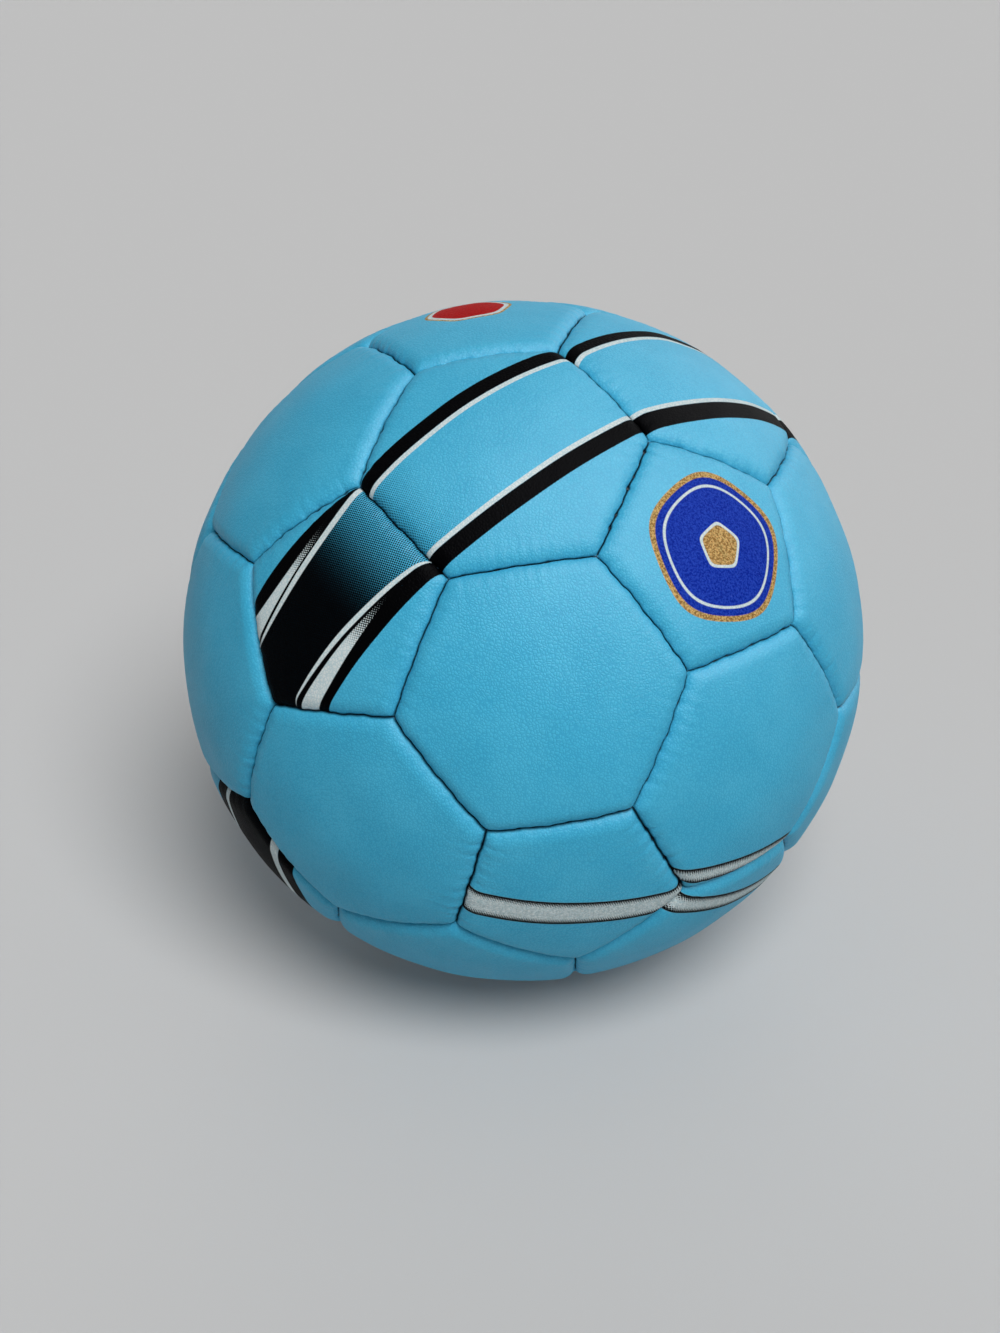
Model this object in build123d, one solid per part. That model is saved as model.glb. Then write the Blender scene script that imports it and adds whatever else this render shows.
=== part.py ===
from build123d import *
import os
from math import asin, atan, cos, degrees, pi, sin, sqrt, tan

# A hand-stitched handball. Twelve pentagons and twenty hexagons of lined synthetic leather are
# sewn edge to edge over a latex bladder, which holds a rubber valve with a core that pulls out.
# The origin is the centre of the ball, +Z is up, and lengths are millimetres.

# The ball, and how it lies: a turn about its polar pentagon, a lean of that pole, a turn about +Z
BALL_CIRCUMFERENCE = 590.0
LIE_SPIN = 19.8
LIE_LEAN = 12.4
LIE_TURN = -140.4

# A panel: the cover and the edge of it that is turned in to be sewn
COVER_THICKNESS = 1.6
TURNED_EDGE_THICKNESS = 1.2
EDGE_ROUNDING = 2.2
EDGE_LIFT = 0.05
SEAM_GAP = 0.1

# The cloth lining that is glued behind each panel
LINING_THICKNESS = 2.6
LINING_CORNER_ROUNDING = 2.0
GLUE_LINE = 0.15

# The stitching of one seam, with a flat waxed thread
STITCHES_PER_SEAM = 8
STITCH_END_MARGIN = 4.0
STITCH_DEPTH = 3.2
THREAD_WIDTH = 0.9
THREAD_THICKNESS = 0.6
THREAD_CLEARANCE = 0.1

# The bladder
BLADDER_WALL = 0.9
BLADDER_CLEARANCE = 0.3

# The valve housing, moulded into the bladder, on the side of the ball that is turned away
VALVE_SIDE = Vector(-1, 1, 0)
NECK_DIAMETER = 7.6
NECK_CLEARANCE = 0.2
NECK_RECESS = 0.5
NECK_ROUNDING = 0.4
STEM_LENGTH = 16.0
BONDING_DISC_DIAMETER = 30.0
BONDING_DISC_THICKNESS = 1.2
AIR_PASSAGE_DIAMETER = 1.2

# The valve core, which slides in the housing and takes the inflation needle
CORE_DIAMETER = 4.4
CORE_LENGTH = 14.0
CORE_HEAD_DIAMETER = 5.8
CORE_HEAD_THICKNESS = 1.4
CORE_TIP_CHAMFER = 0.6
CORE_CLEARANCE = 0.05
NEEDLE_HOLE_DIAMETER = 2.1
NEEDLE_HOLE_DEPTH = 10.0
NEEDLE_LEAD_IN = 0.5

# How far a cutting tool runs past what it cuts
CUT_OVERRUN = 1.0

# Worked out from the sizes above
BALL_RADIUS = BALL_CIRCUMFERENCE / (2 * pi)
COVER_INNER_RADIUS = BALL_RADIUS - COVER_THICKNESS
LINING_OUTER_RADIUS = COVER_INNER_RADIUS - GLUE_LINE
WALL_INNER_RADIUS = LINING_OUTER_RADIUS - LINING_THICKNESS
BLADDER_OUTER_RADIUS = WALL_INNER_RADIUS - BLADDER_CLEARANCE
BLADDER_INNER_RADIUS = BLADDER_OUTER_RADIUS - BLADDER_WALL
STITCH_RADIUS = BALL_RADIUS - STITCH_DEPTH
STITCH_HOLE_RADIUS = sqrt(THREAD_WIDTH ** 2 + THREAD_THICKNESS ** 2) / 2 + THREAD_CLEARANCE
EDGE_FACE = SEAM_GAP / 2
ROUNDING_RADIUS = BALL_RADIUS - EDGE_ROUNDING
ROUNDING_INSET = EDGE_FACE + EDGE_ROUNDING
SHOULDER_RADIUS = sqrt(ROUNDING_RADIUS ** 2 - ROUNDING_INSET ** 2) + EDGE_ROUNDING
EDGE_BACK = EDGE_FACE + TURNED_EDGE_THICKNESS
LINING_EDGE = EDGE_BACK + THREAD_THICKNESS + 2 * THREAD_CLEARANCE

# Angles at the ball's centre, for a solid with pentagon and hexagon faces of one edge length
GOLDEN = (1 + sqrt(5)) / 2
HALF_SEAM_ANGLE = asin(1 / sqrt(9 * GOLDEN + 10))
PENTAGON_SIDES = 5
HEXAGON_SIDES = 6


def panel_angle(sides):
    """The angle from a panel's middle to the middle of its seams, in radians."""
    return asin(tan(HALF_SEAM_ANGLE) / tan(pi / sides))


# Layout

def lie(direction):
    """Turns a direction from the upright ball to the ball as it lies."""
    return direction.rotate(Axis.Z, LIE_SPIN).rotate(Axis.X, LIE_LEAN).rotate(Axis.Z, LIE_TURN)


def pentagon_middles():
    """The twelve directions of the pentagons: two poles and two rings of five."""
    ring_angle = atan(2)
    north = [Vector(0, 0, 1)]
    for k in range(PENTAGON_SIDES):
        turn = k * 2 * pi / PENTAGON_SIDES
        north.append(Vector(sin(ring_angle) * cos(turn), sin(ring_angle) * sin(turn), cos(ring_angle)))
    return [lie(d) for d in north] + [lie(d * -1) for d in north]


def are_neighbours(a, b):
    """True for two pentagons with one seam between their corners."""
    return 0 < a.dot(b) < 2 / sqrt(5)


def layout():
    """(pentagons, hexagons, seams): a middle and a seam's direction each, or a seam's middle and run."""
    middles = pentagon_middles()
    pentagons, hexagons, seams = [], [], []
    for i, a in enumerate(middles):
        around = [b for b in middles if are_neighbours(a, b)]
        for j, b in enumerate(middles):
            if not are_neighbours(a, b):
                continue
            if i < j:
                seams.append(((a + b).normalized(), (b - a).normalized()))
            for k, c in enumerate(middles):
                if not (are_neighbours(a, c) and are_neighbours(b, c)):
                    continue
                if j < k:
                    corner_b, corner_c = a * 2 + b, a * 2 + c
                    seams.append(((corner_b + corner_c).normalized(), (corner_c - corner_b).normalized()))
                if i < j < k:
                    hexagons.append(((a + b + c).normalized(), (a + b).normalized()))
        pentagons.append((a, (a * 2 + around[0] + next_to(around)).normalized()))
    return by_height(pentagons), by_height(hexagons), seams


def next_to(around):
    """A pentagon that neighbours the first of a ring of pentagons."""
    return next(b for b in around if are_neighbours(around[0], b))


def by_height(panels):
    """The panels from the top of the ball to the bottom."""
    return sorted(panels, key=lambda panel: -panel[0].Z)


def placed(middle, towards):
    """The place of a piece made about +Z, with its +X side turned towards a direction."""
    return Plane((0, 0, 0), x_dir=towards - middle * towards.dot(middle), z_dir=middle).location


# Shapes made about +Z

STANDING = (Align.CENTER, Align.CENTER, Align.MIN)


def ball(radius):
    """A ball with its poles on Y, so that no pole or seam line of it lies in a panel."""
    return Rotation(90, 0, 0) * Sphere(radius)


def seam_plane(sides, k, inset):
    """A plane along seam k of a panel, set in from the seam's middle, facing into the panel."""
    turn, lean = k * 2 * pi / sides, panel_angle(sides)
    inwards = Vector(-cos(turn) * cos(lean), -sin(turn) * cos(lean), sin(lean))
    return Plane(inwards * inset, x_dir=(-sin(turn), cos(turn), 0), z_dir=inwards)


def shell(outer_radius, inner_radius):
    """A hollow ball."""
    return ball(outer_radius) - ball(inner_radius)


def patch(sides, outer_radius, inner_radius, inset):
    """The patch of a hollow ball that lies inside a panel's seams, set in from them."""
    solid = shell(outer_radius, inner_radius)
    span = 2 * outer_radius
    keep = Box(span, span, span, align=STANDING)
    for k in range(sides):
        solid = solid & (seam_plane(sides, k, inset) * keep)
    return solid


def crowned_patch(sides):
    """The blank of a panel: each side is the end of a wide post, rounded over to meet the ball."""
    solid = shell(BALL_RADIUS, WALL_INNER_RADIUS)
    keep = Cylinder(SHOULDER_RADIUS + EDGE_LIFT, 2 * BALL_RADIUS, align=STANDING)
    keep = fillet(keep.edges().filter_by(GeomType.CIRCLE).sort_by(Axis.Z)[0], EDGE_ROUNDING)
    for k in range(sides):
        solid = solid & (seam_plane(sides, k, EDGE_FACE) * keep)
    return solid


def stitch_angles():
    """Where the stitches of a seam lie along it, from its middle, in radians."""
    reach = HALF_SEAM_ANGLE - STITCH_END_MARGIN / STITCH_RADIUS
    step = 2 * reach / (STITCHES_PER_SEAM - 1)
    return [-reach + k * step for k in range(STITCHES_PER_SEAM)]


def stitch_holes(sides):
    """The holes punched through a panel's turned edges, one for each stitch."""
    tool = Cylinder(STITCH_HOLE_RADIUS, 2 * (EDGE_BACK + CUT_OVERRUN))
    holes = []
    for k in range(sides):
        plane = seam_plane(sides, k, 0)
        for angle in stitch_angles():
            holes.append(plane * Rotation(0, 0, degrees(angle)) * Pos(0, -STITCH_RADIUS, 0) * tool)
    return holes


def panel(sides):
    """A cover with its edges rounded over, turned in and punched for the stitches."""
    hollow = patch(sides, COVER_INNER_RADIUS, WALL_INNER_RADIUS - CUT_OVERRUN, EDGE_BACK)
    return crowned_patch(sides) - hollow - stitch_holes(sides)


def lining(sides):
    """The cloth behind a cover, set back from the turned edges to leave room for the thread."""
    solid = patch(sides, LINING_OUTER_RADIUS, WALL_INNER_RADIUS, LINING_EDGE)
    return fillet(solid.edges().filter_by(GeomType.LINE), LINING_CORNER_ROUNDING)


def valve_hole():
    """What is punched out of a panel and its lining for the neck of the valve."""
    return Pos(0, 0, BALL_RADIUS) * Cylinder(NECK_DIAMETER / 2 + NECK_CLEARANCE, BALL_RADIUS / 2)


def seam_thread():
    """One seam's thread, along +X about +Z: it crosses the seam at each hole and runs on to the next."""
    side = EDGE_BACK + THREAD_CLEARANCE + THREAD_THICKNESS / 2
    points = []
    for k, angle in enumerate(stitch_angles()):
        for y in ((-side, side) if k % 2 == 0 else (side, -side)):
            points.append((STITCH_RADIUS * sin(angle), y, STITCH_RADIUS * cos(angle)))
    path = Polyline(*points)
    start = Plane(path @ 0, x_dir=path @ 0, z_dir=path % 0)
    return sweep(start * Rectangle(THREAD_WIDTH, THREAD_THICKNESS), path=path, transition=Transition.RIGHT)


def bladder():
    """The latex bladder, with the hole that the valve's neck is bonded into."""
    shell = ball(BLADDER_OUTER_RADIUS) - ball(BLADDER_INNER_RADIUS)
    hole = Cylinder(NECK_DIAMETER / 2 + GLUE_LINE, BLADDER_OUTER_RADIUS / 2)
    return shell - Pos(0, 0, BLADDER_OUTER_RADIUS) * hole


# The valve's levels along +Z
NECK_TOP = BALL_RADIUS - NECK_RECESS
CORE_SEAT = NECK_TOP - CORE_HEAD_THICKNESS
CORE_TIP = NECK_TOP - CORE_LENGTH
DISC_OUTER_RADIUS = BLADDER_INNER_RADIUS - GLUE_LINE
STEM_END = DISC_OUTER_RADIUS - STEM_LENGTH


def post(diameter, low, high):
    """A round post on +Z between two levels."""
    return Pos(0, 0, low) * Cylinder(diameter / 2, high - low, align=STANDING)


def valve_housing():
    """The rubber housing: a stem and neck in one, a disc bonded inside the bladder, and the core's bore."""
    disc = ball(DISC_OUTER_RADIUS) - ball(DISC_OUTER_RADIUS - BONDING_DISC_THICKNESS)
    disc = disc & post(BONDING_DISC_DIAMETER, 0, BALL_RADIUS)
    stem = post(NECK_DIAMETER, STEM_END, NECK_TOP)
    top = stem.edges().filter_by(GeomType.CIRCLE).sort_by(Axis.Z)[-1]
    stem = fillet(top, NECK_ROUNDING)
    bore = post(CORE_DIAMETER + 2 * CORE_CLEARANCE, CORE_TIP - CORE_CLEARANCE, NECK_TOP + CUT_OVERRUN)
    head_room = post(CORE_HEAD_DIAMETER + 2 * CORE_CLEARANCE, CORE_SEAT, NECK_TOP + CUT_OVERRUN)
    air_passage = post(AIR_PASSAGE_DIAMETER, STEM_END - CUT_OVERRUN, NECK_TOP)
    return stem + disc - bore - head_room - air_passage


def valve_core():
    """The plug that the needle goes into: a head on a shank, with a blind hole that has a lead-in."""
    shank = post(CORE_DIAMETER, CORE_TIP, NECK_TOP)
    tip = shank.edges().filter_by(GeomType.CIRCLE).sort_by(Axis.Z)[0]
    core = chamfer(tip, CORE_TIP_CHAMFER) + post(CORE_HEAD_DIAMETER, CORE_SEAT, NECK_TOP)
    core = core - post(NEEDLE_HOLE_DIAMETER, NECK_TOP - NEEDLE_HOLE_DEPTH, NECK_TOP + CUT_OVERRUN)
    mouth = core.edges().filter_by(GeomType.CIRCLE).group_by(Axis.Z)[-1].sort_by(SortBy.RADIUS)[0]
    return chamfer(mouth, NEEDLE_LEAD_IN)


# Assembly

def write(name, shape):
    """One node of the ball, in its own file."""
    export_step(shape, os.path.join("parts", name + ".step"))


def group(pieces):
    """Separate solids that share a node."""
    return Compound([piece.solid() for piece in pieces])


def main():
    os.makedirs("parts", exist_ok=True)
    pentagons, hexagons, seams = layout()
    with_valve = max(hexagons, key=lambda hexagon: hexagon[0].dot(VALVE_SIDE))
    plain_hexagons = [hexagon for hexagon in hexagons if hexagon is not with_valve]

    cover, backing = panel(PENTAGON_SIDES), lining(PENTAGON_SIDES)
    for number, place in enumerate(pentagons, 1):
        write(f"pentagon_panel_{number:02d}", placed(*place) * cover)
    write("pentagon_linings", group([placed(*place) * backing for place in pentagons]))

    cover, backing = panel(HEXAGON_SIDES), lining(HEXAGON_SIDES)
    for number, place in enumerate(plain_hexagons, 1):
        write(f"hexagon_panel_{number:02d}", placed(*place) * cover)
    write("hexagon_linings", group([placed(*place) * backing for place in plain_hexagons]))

    valve_place = placed(*with_valve)
    write("valve_panel", valve_place * (cover - valve_hole()))
    write("valve_panel_lining", valve_place * (backing - valve_hole()))
    write("bladder", valve_place * bladder())
    write("valve_housing", valve_place * valve_housing())
    write("valve_core", valve_place * valve_core())

    thread = seam_thread()
    write("seam_threads", group([placed(middle, middle + run) * thread for middle, run in seams]))

    print("radius", BALL_RADIUS, "seams", len(seams), "of length", 2 * HALF_SEAM_ANGLE * BALL_RADIUS)
    print("valve axis", with_valve[0], "neck top", NECK_TOP)


main()
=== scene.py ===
import math

import bpy
import numpy as np
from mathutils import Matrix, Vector


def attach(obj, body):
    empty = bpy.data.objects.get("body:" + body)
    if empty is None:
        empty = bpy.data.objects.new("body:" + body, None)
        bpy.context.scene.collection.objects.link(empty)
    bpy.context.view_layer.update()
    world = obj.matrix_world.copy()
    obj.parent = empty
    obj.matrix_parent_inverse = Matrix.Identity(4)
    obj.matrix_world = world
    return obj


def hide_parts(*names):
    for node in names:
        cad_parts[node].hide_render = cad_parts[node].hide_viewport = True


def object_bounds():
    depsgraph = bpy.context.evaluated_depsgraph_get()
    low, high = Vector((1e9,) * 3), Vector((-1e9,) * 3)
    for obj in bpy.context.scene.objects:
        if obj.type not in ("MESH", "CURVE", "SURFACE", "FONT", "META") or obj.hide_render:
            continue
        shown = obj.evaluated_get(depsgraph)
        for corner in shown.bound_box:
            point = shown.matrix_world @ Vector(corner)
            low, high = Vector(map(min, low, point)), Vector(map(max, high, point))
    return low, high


# The looks of a hand-stitched handball. Lengths are millimetres until a mesh or the camera is made,
# and directions point away from the ball's centre, which is the frame's origin.

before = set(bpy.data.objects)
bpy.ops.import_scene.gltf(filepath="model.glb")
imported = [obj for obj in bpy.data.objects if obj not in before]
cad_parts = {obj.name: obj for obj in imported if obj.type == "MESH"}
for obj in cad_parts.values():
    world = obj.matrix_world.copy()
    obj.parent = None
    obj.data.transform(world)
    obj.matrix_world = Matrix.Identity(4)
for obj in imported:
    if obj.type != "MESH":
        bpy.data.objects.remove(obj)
cad_low, cad_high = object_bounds()

MM = 0.001
BALL_RADIUS = (cad_high - cad_low).length / math.sqrt(12) / MM

# Camera, fitted to the photograph, which is taken as 1000 by 1333 pixels
PHOTO_WIDTH, PHOTO_HEIGHT = 1000, 1333
FOCAL_PIXELS = 2694
SENSOR_WIDTH = 36.0
CAMERA_DISTANCE = 749.5
CAMERA_ELEVATION = math.radians(30)
BALL_PIXEL = (522.8, 641.2)

# Light: the direction of each lamp, the angle that it spans and its strength
LAMPS = {
    "key": ((0.20, -0.57, 0.80), math.radians(30), 2.98),
    "back": ((0.0, 0.97, 0.24), math.radians(40), 0.7),
    "fill": ((0.0, 0.0, 1.0), math.radians(60), 0.30),
}
SHEEN_LAMPS = {
    "sheen": ((0.42, -0.25, 0.87), math.radians(75), 12.5),
    "rim_sheen": ((0.70, 0.62, 0.35), math.radians(60), 2.2),
    "side_sheen": ((0.97, 0.14, 0.0), math.radians(70), 1.5),
}
WORLD_STRENGTH = 0.07
BACKGROUND_GREY = 0.521
FLOOR_GREY = 0.481
# The floor's glow is painted light, which keeps the shadow on the floor light
FLOOR_GLOW = 0.052
FLOOR_HALF_METRES = 12.0

# Panels: the fine grid of the cover and the shape of its edges
GRID_STEPS = 64
GRID_CROWDING = 0.72
MERGE_SCALE = 1e7
SEAM_HALF_GAP = 0.05
EDGE_REACH = 4.5
EDGE_DEPTHS = (2.3, 3.0)
CORNER_SOFTNESS = 0.5
PILLOW_DEPTH = 0.3
PILLOW_REACH = 9.0
LINED_DEPTH = 1.55
LINED_REACH = (0.3, 1.3)
LINED_SOFTNESS = 0.12
TURNED_DEPTH = 4.2
TURNED_THICKNESS = 1.2
COVER_THICKNESS = 1.65
CEILING_SHARES = (0.8, 0.55, 0.3)

# Stitching, as it shows at the surface
STITCH_COUNT = 8
STITCH_MARGIN = 4.0
STITCH_GAP = 0.52
STITCH_DIMPLE = 0.16
DIMPLE_REACH = 2.6
TIGHT_DIMPLE_SHARE = 0.3
TENSION_MEAN = 0.6
TENSION_SWING = 0.4
TENSION_RATE = 2.3
SEAM_OPENNESS = (0.05, 0.6)
SEAM_END_FADE = (1.0, 4.5)
SEAM_WAVE = 0.27
SEAM_WAVE_SHARES = (0.3, 1.0)
SHORT_WAVE_SHARE = 0.5
LONG_WAVE_STITCHES = 2.7
SEAM_PULL_REACH = 1.3
GATHER_HEIGHT = 0.10
GATHER_SHARES = (0.3, 1.0)
GATHER_START = (0.2, 2.2)
GATHER_REACH = 3.6
GATHER_WAVES = 6
GATHER_LENGTHS = (1.7, 4.6)
GATHER_PER_STITCH = 0.8
GATHER_SWAY = 0.7
OPEN_SEAM_PIXELS = [(623, 497), (385, 430), (303, 523), (640, 880), (250, 650)]
TIGHT_SEAM_PIXELS = [(440, 774), (420, 648), (645, 611), (708, 461), (484, 360), (322, 711)]
# Painted shade along the seams: the seams where it is wider, and its widths, in millimetres
SHADED_SEAM_PIXELS = [(560, 822), (440, 774), (332, 711), (658, 845), (472, 878), (360, 850)]
SEAM_SHADE_WIDTHS = (0.30, 0.48)
SHADED_SEAM_WIDTH = 0.7
SEED = 7

# The ball is a little out of round: places that stand in or out, how far, and their spread as an angle
BUMPS = [((0.91, 0.21, 0.37), -0.25, 0.35), ((-0.5, 0.43, 0.75), 0.7, 0.5)]
UNEVEN_HEIGHT = 0.14
UNEVEN_LENGTHS = (16.0, 45.0)
UNEVEN_WAVES = 24

# The valve hole
VALVE_HOLE_RADIUS = 4.0
VALVE_RIM_ROUNDING = 0.7
VALVE_RINGS = 64


def unit(v):
    """A vector or rows of vectors, made one long."""
    v = np.asarray(v, float)
    return v / np.linalg.norm(v, axis=-1, keepdims=True)


# Camera

def camera_axes():
    """The camera's place and its right, up and forward directions, for a ball off the picture's middle."""
    forward = np.array([0, math.cos(CAMERA_ELEVATION), -math.sin(CAMERA_ELEVATION)])
    up = np.array([0, math.sin(CAMERA_ELEVATION), math.cos(CAMERA_ELEVATION)])
    right = np.array([1.0, 0, 0])
    place = -forward * CAMERA_DISTANCE
    across = BALL_PIXEL[0] - PHOTO_WIDTH / 2
    above = PHOTO_HEIGHT / 2 - BALL_PIXEL[1]
    target = -(right * across + up * above) * CAMERA_DISTANCE / FOCAL_PIXELS
    forward = unit(target - place)
    right = unit(np.cross(forward, [0, 0, 1]))
    return place, right, np.cross(right, forward), forward


def on_ball(pixel):
    """The direction of the point of the ball that a pixel of the photograph shows."""
    place, right, up, forward = camera_axes()
    across, above = pixel[0] - PHOTO_WIDTH / 2, PHOTO_HEIGHT / 2 - pixel[1]
    ray = unit(forward * FOCAL_PIXELS + right * across + up * above)
    ahead = place @ ray
    inside = ahead ** 2 - place @ place + BALL_RADIUS ** 2
    return unit(place + ray * (-ahead - math.sqrt(max(inside, 0))))


def make_camera():
    place, _, _, forward = camera_axes()
    data = bpy.data.cameras.new("camera")
    data.sensor_width = SENSOR_WIDTH
    data.lens = FOCAL_PIXELS * SENSOR_WIDTH / PHOTO_HEIGHT
    camera = bpy.data.objects.new("camera", data)
    camera.location = place * MM
    camera.rotation_euler = Vector(forward).to_track_quat("-Z", "Y").to_euler()
    bpy.context.scene.collection.objects.link(camera)
    bpy.context.scene.camera = camera


# Layout of the panels, read from the frame

NEIGHBOUR_COSINE = 0.8


def node_direction(name):
    """The direction of a node's middle, from the middles and areas of its faces."""
    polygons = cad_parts[name].data.polygons
    areas = np.empty(len(polygons))
    middles = np.empty(len(polygons) * 3)
    polygons.foreach_get("area", areas)
    polygons.foreach_get("center", middles)
    return unit(areas @ middles.reshape(-1, 3))


def neighbours(directions, i):
    return [j for j, d in enumerate(directions) if 0 < directions[i] @ d < NEIGHBOUR_COSINE]


def around(middle, corners):
    """Corners in turning order about a middle, seen from outside."""
    across = unit(np.cross(middle, corners[0]))
    ahead = np.cross(across, middle)
    return sorted(corners, key=lambda c: math.atan2(c @ across, c @ ahead))


class Seam:
    """One sewn seam, with a manner of its own that both its panels share."""

    def __init__(self, start, end, number):
        self.middle = unit(start + end)
        self.along = unit(end - start)
        self.side = unit(np.cross(start, end))
        self.half_length = BALL_RADIUS * math.acos(np.clip(start @ end, -1, 1)) / 2
        self.pitch = 2 * (self.half_length - STITCH_MARGIN) / (STITCH_COUNT - 1)
        draw = np.random.default_rng(SEED + number)
        self.openness = draw.uniform(*SEAM_OPENNESS)
        self.wave = draw.uniform(*SEAM_WAVE_SHARES)
        self.gather = draw.uniform(*GATHER_SHARES)
        self.lengths = draw.uniform(*GATHER_LENGTHS, GATHER_WAVES)
        self.phases = draw.uniform(0, 2 * math.pi, GATHER_WAVES)
        self.drift = draw.uniform(0, 2 * math.pi)
        self.depth = draw.uniform(*EDGE_DEPTHS)
        # The width of the painted shade along this seam
        self.line_width = draw.uniform(*SEAM_SHADE_WIDTHS)

    def coordinates(self, p):
        """Lengths along the seam from its middle and across it, for directions p."""
        along = BALL_RADIUS * np.arctan2(p @ self.along, p @ self.middle)
        return along, BALL_RADIUS * np.arcsin(np.clip(p @ self.side, -1, 1))


class Panel:
    """A panel's middle, corners in turning order, seams and node."""

    def __init__(self, middle, corners, node):
        self.middle = middle
        self.corners = np.array(around(middle, corners))
        self.node = node
        self.ahead = unit(self.corners[0] - middle * (self.corners[0] @ middle))
        self.across = np.cross(middle, self.ahead)
        self.seams = []

    def flat(self, p):
        """Directions laid on the plane that touches the panel's middle, where seams are straight."""
        return np.stack([p @ self.ahead, p @ self.across], -1) / (p @ self.middle)[..., None]

    def direction(self, xy):
        return unit(self.middle + xy[..., :1] * self.ahead + xy[..., 1:] * self.across)


def nearest(items, direction):
    return max(items, key=lambda item: item.middle @ direction)


def read_layout():
    """All panels, sewn. The pentagons give the corners, and the corners give the hexagons."""
    covers = [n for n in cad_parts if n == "valve_panel" or "_panel_" in n and "lining" not in n]
    directions = {n: node_direction(n) for n in sorted(covers)}
    pentagon_nodes = [n for n in directions if n.startswith("pentagon")]
    pentagons = [directions[n] for n in pentagon_nodes]
    corner = {}
    for i in range(len(pentagons)):
        for j in neighbours(pentagons, i):
            corner[i, j] = unit(2 * pentagons[i] + pentagons[j])
    panels = []
    for i, node in enumerate(pentagon_nodes):
        panels.append(Panel(pentagons[i], [corner[i, j] for j in neighbours(pentagons, i)], node))
    for node in sorted(set(directions) - set(pentagon_nodes)):
        three = sorted(range(len(pentagons)), key=lambda i: -(pentagons[i] @ directions[node]))[:3]
        middle = unit(sum(pentagons[i] for i in three))
        panels.append(Panel(middle, [corner[i, j] for i in three for j in three if i != j], node))
    sew(panels)
    return panels


def sew(panels):
    """One seam for each pair of neighbouring corners, shared by the two panels that have both."""
    seams = {}
    for panel in panels:
        for start, end in zip(panel.corners, np.roll(panel.corners, -1, 0)):
            key = tuple(np.round(unit(start + end), 3))
            if key not in seams:
                seams[key] = Seam(start, end, len(seams))
            panel.seams.append(seams[key])
    seams = list(seams.values())
    for pixel in OPEN_SEAM_PIXELS:
        nearest(seams, on_ball(pixel)).openness = 1.0
    for pixel in TIGHT_SEAM_PIXELS:
        nearest(seams, on_ball(pixel)).openness = 0.0
    # These seams lie in deeper shade, so their painted shade is wider
    for pixel in SHADED_SEAM_PIXELS:
        nearest(seams, on_ball(pixel)).line_width = SHADED_SEAM_WIDTH


# The surface of a panel

def smooth(x, low, high):
    t = np.clip((x - low) / (high - low), 0, 1)
    return t * t * (3 - 2 * t)


def unevenness(p):
    """Slow waves over the whole ball, and the places where it is out of round."""
    draw = np.random.default_rng(SEED)
    height = np.zeros(len(p))
    for _ in range(UNEVEN_WAVES):
        turn = unit(draw.normal(size=3)) * 2 * math.pi * BALL_RADIUS / draw.uniform(*UNEVEN_LENGTHS)
        height += np.sin(p @ turn + draw.uniform(0, 2 * math.pi))
    height *= UNEVEN_HEIGHT / math.sqrt(UNEVEN_WAVES)
    for direction, rise, spread in BUMPS:
        angle = np.arccos(np.clip(p @ unit(direction), -1, 1))
        height += rise * np.exp(-(angle / spread) ** 2)
    return height


def quarter_round(distance, reach, depth):
    """How far a rounded edge has dropped at a distance in from the edge."""
    inset = 1 - np.clip(distance / reach, 0, 1)
    return depth * (1 - np.sqrt(1 - inset ** 2))


def near_seam(seam, panel, p):
    """How far in from a seam points p lie, the same with the pull of the stitches, and the gathers there."""
    along, across = seam.coordinates(p)
    way = 1 if panel.middle @ seam.side > 0 else -1
    inward = way * across
    clear = np.maximum(inward, 0)
    ends = smooth(seam.half_length - np.abs(along), *SEAM_END_FADE)
    turn = 2 * math.pi * along / seam.pitch
    tension = TENSION_MEAN + TENSION_SWING * np.sin(TENSION_RATE * along / seam.pitch + seam.drift)
    at_stitch = (0.5 - 0.5 * np.cos(turn)) ** 2 * tension
    wave = SHORT_WAVE_SHARE * np.sin(turn + seam.drift)
    wave += np.sin(turn / LONG_WAVE_STITCHES + 2 * seam.drift)
    line = SEAM_WAVE * seam.wave * ends * wave
    close = np.exp(-clear / SEAM_PULL_REACH)
    gap = STITCH_GAP * seam.openness * at_stitch ** 2 * ends * close
    pulled = inward - way * line * close - gap
    ripple = sum(np.sin(2 * math.pi * along / l + f + way) for l, f in zip(seam.lengths, seam.phases))
    sway = GATHER_SWAY * np.sin(along + seam.drift)
    ripple = ripple / math.sqrt(GATHER_WAVES) + GATHER_PER_STITCH * np.cos(turn + sway)
    fade = np.exp(-clear / GATHER_REACH) * smooth(inward, *GATHER_START) * ends
    height = GATHER_HEIGHT * seam.gather * ripple * fade
    dimple = STITCH_DIMPLE * (TIGHT_DIMPLE_SHARE + (1 - TIGHT_DIMPLE_SHARE) * seam.openness) * at_stitch
    height -= dimple * np.exp(-clear / DIMPLE_REACH) * ends
    return inward, pulled, height


def cover_heights(panel, p):
    """Radii of the cover's outside along directions p, and how far in from a seam each point is,
    counted in widths of that seam's painted shade."""
    inward, pulls, gathers = zip(*(near_seam(seam, panel, p) for seam in panel.seams))
    pulls = np.array(pulls)
    lowest = pulls.min(0)
    shares = np.exp(-(pulls - lowest) / CORNER_SOFTNESS)
    soft = lowest - CORNER_SOFTNESS * np.log(shares.sum(0))
    depth = np.array([seam.depth for seam in panel.seams]) @ shares / shares.sum(0)
    drop = quarter_round(soft, EDGE_REACH, depth)
    drop += PILLOW_DEPTH * np.exp(-np.maximum(soft, 0) / PILLOW_REACH)
    drop -= unevenness(p) + sum(gathers)
    lined = LINED_DEPTH + TURNED_DEPTH * (1 - smooth(np.min(inward, 0), *LINED_REACH))
    drop = -LINED_SOFTNESS * np.logaddexp(-drop / LINED_SOFTNESS, -lined / LINED_SOFTNESS)
    widths = np.array([seam.line_width for seam in panel.seams])
    return BALL_RADIUS - drop, np.maximum((pulls / widths[:, None]).min(0), 0)


# Meshes of panels

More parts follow.
